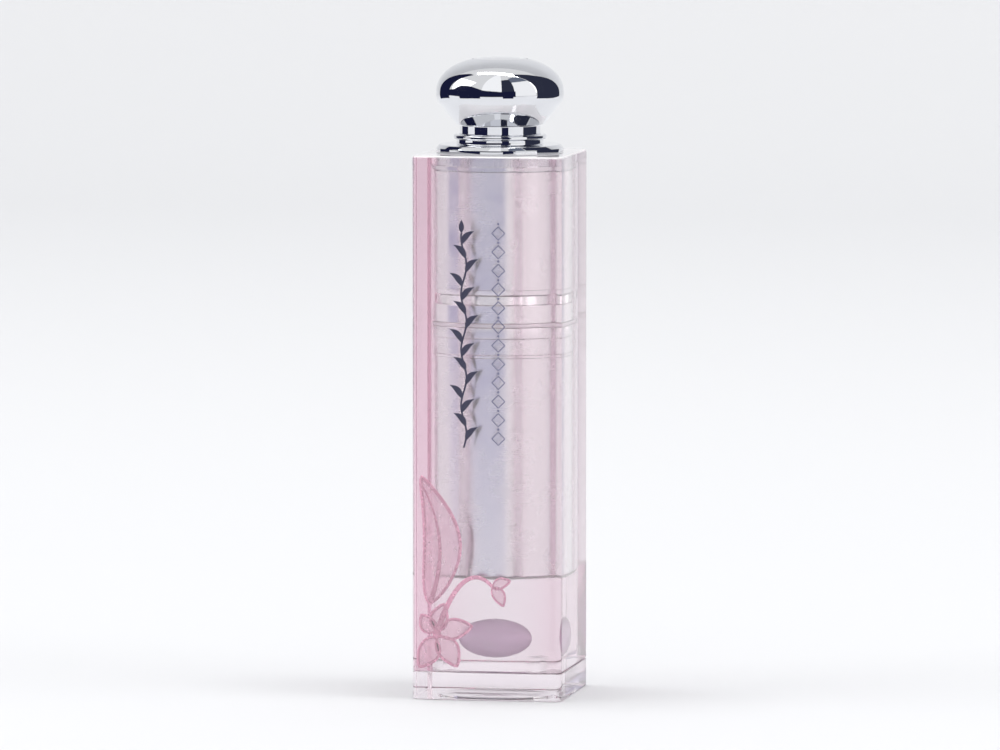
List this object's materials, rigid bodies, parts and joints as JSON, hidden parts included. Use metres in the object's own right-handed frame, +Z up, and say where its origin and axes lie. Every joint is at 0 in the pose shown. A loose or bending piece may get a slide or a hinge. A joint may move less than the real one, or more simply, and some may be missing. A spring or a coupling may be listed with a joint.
{
  "type": "lip balm stick",
  "caption": "Twist-up lip balm in a square clear case: a round silver barrel on a square foot, under a clear sleeve with a chromed push knob.",
  "frame": {"origin": "centre of the square foot's underside", "axes": "+Z up along the stick, front face towards -Y, +X to the right of the front face"},
  "size_m": [0.0196, 0.0196, 0.0824],
  "materials": {
    "clear_pink_foot": "polished clear pink acrylic",
    "clear_pink_sleeve": "polished clear pink acrylic",
    "mauve_insert": "opaque pearly plastic seen through the foot",
    "label_film": "plain silvery film",
    "weight_steel": "turned",
    "guide_white": "moulded acetal",
    "seal_clear": "silicone",
    "barrel_silver": "satin anodised drawn tube",
    "spiral_white": "moulded acetal",
    "band_silicone": "soft ring",
    "neck_silver": "polished drawn shell",
    "carrier_white": "moulded acetal",
    "balm_pink": "smooth wax, slightly see-through",
    "plate_chrome": "mirror chrome",
    "lock_steel": "spring steel",
    "spring_steel": "drawn wire",
    "knob_chrome": "mirror chrome",
    "core_white": "moulded acetal",
    "inlay_silver": "polished, plain",
    "cap_silver": "satin anodised drawn cap"
  },
  "bodies": {
    "base": {"base_foot": "clear_pink_foot", "shade_insert": "mauve_insert", "base_label": "label_film", "base_weight": "weight_steel", "guide_tube": "guide_white", "damping_ring": "seal_clear"},
    "barrel": {"barrel_tube": "barrel_silver", "spiral_tube": "spiral_white", "friction_ring": "band_silicone", "neck_shell": "neck_silver"},
    "carrier": {"carrier_cup": "carrier_white", "balm_bullet": "balm_pink"},
    "sleeve": {"outer_sleeve": "clear_pink_sleeve", "top_plate": "plate_chrome", "lock_ring": "lock_steel", "knob_spring": "spring_steel"},
    "knob": {"knob_shell": "knob_chrome", "knob_core": "core_white", "knob_inlay": "inlay_silver", "inner_cap": "cap_silver"}
  },
  "joints": [
    {"name": "barrel_twist", "type": "hinge", "parent": "base", "child": "barrel", "pos_m": [0, 0, 0.0155], "axis": [0, 0, 1], "range_deg": [0, 450.1]},
    {"name": "balm_rise", "type": "slide", "parent": "base", "child": "carrier", "axis": [0, 0, 1], "range_m": [0, 0.015]},
    {"name": "sleeve_lift", "type": "slide", "parent": "base", "child": "sleeve", "axis": [0, 0, 1], "range_m": [0, 0.075]},
    {"name": "knob_press", "type": "slide", "parent": "sleeve", "child": "knob", "axis": [0, 0, -1], "range_m": [0, 0.0011], "stiffness_N_per_m": 800, "springref_m": -0.002, "deforming": ["knob_spring"]}
  ],
  "couplings": [
    {"joint": "barrel_twist", "follows": "balm_rise", "rad_per_m": 523.6}
  ]
}
